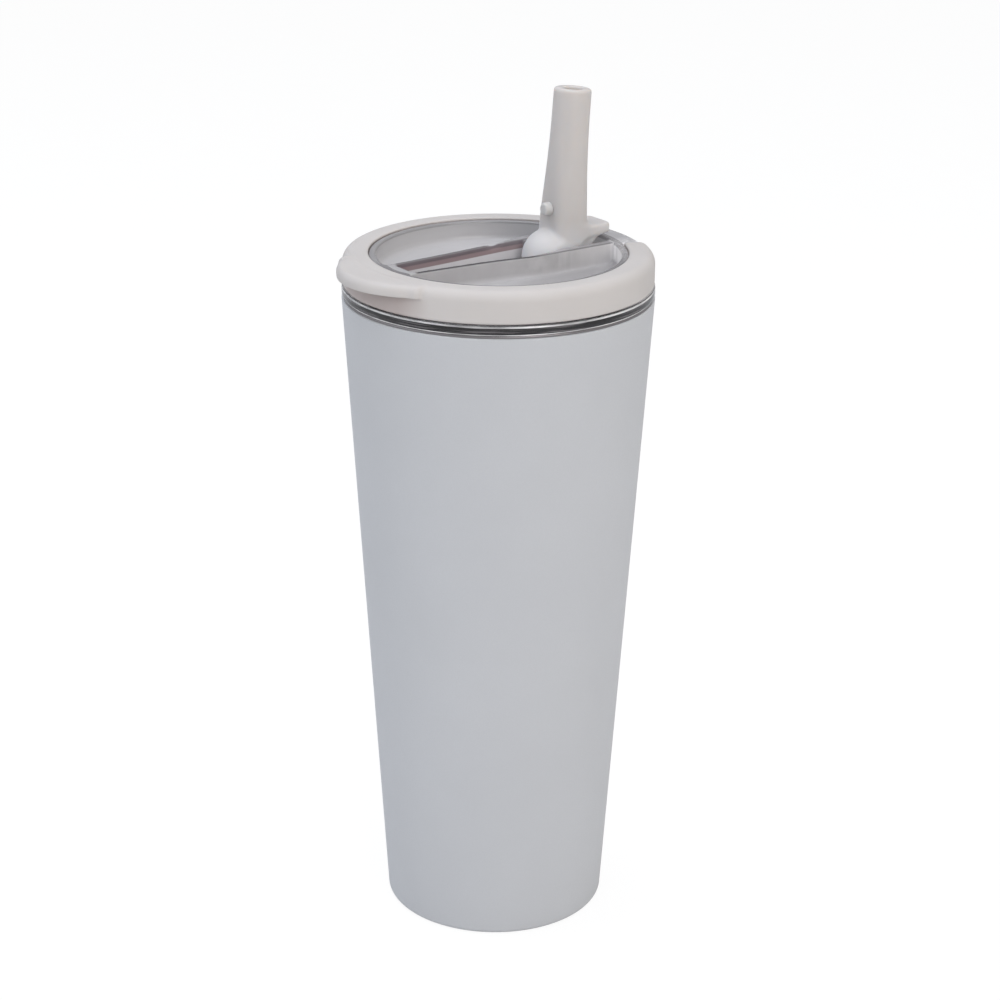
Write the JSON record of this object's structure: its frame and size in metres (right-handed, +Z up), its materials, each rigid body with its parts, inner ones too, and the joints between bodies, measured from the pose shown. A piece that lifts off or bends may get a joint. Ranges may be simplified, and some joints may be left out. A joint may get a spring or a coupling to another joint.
{
  "type": "insulated tumbler",
  "caption": "Tapered double-wall steel tumbler with a clear press-in lid, a soft band with a lift tab, a flip-down straw spout and a drinking straw.",
  "frame": {"origin": "centre of the ring the cup stands on, on the resting plane", "axes": "+Z up along the cup's axis, +X from the centre towards the spout hinge (the lift tab is at -X), +Y along the hinge axis"},
  "size_m": [0.101, 0.0948, 0.2619],
  "materials": {
    "powder_coat": "fine matte powder coat, cool light grey",
    "steel": "bare spun stainless steel",
    "seal_bead": "melted sealing bead",
    "getter_metal": "sintered, dull",
    "clear_plastic": "clear, faintly smoky, polished",
    "soft_band": "matte soft-touch, warm off-white",
    "silicone": "matte silicone",
    "spout_plastic": "fine satin moulding, warm off-white",
    "straw_plastic": "natural translucent"
  },
  "bodies": {
    "cup": {"outer_wall": "powder_coat", "inner_wall": "steel", "outer_bottom": "steel", "base_cover": "steel", "vacuum_seal": "seal_bead", "getter": "getter_metal", "getter_strap": "steel"},
    "lid": {"lid_body": "clear_plastic", "lid_ring": "soft_band", "lid_gasket": "silicone", "spout_seal": "silicone", "straw_socket": "spout_plastic", "straw": "straw_plastic"},
    "spout": {"spout": "spout_plastic", "vent_plug": "silicone"}
  },
  "joints": [
    {"name": "lid_lift", "type": "slide", "parent": "cup", "child": "lid", "axis": [0, 0, 1], "range_m": [0, 0.2]},
    {"name": "spout_fold", "type": "hinge", "parent": "lid", "child": "spout", "pos_m": [0.0194, 0, 0.2105], "axis": [0, -1, 0], "range_deg": [0, 90]}
  ]
}
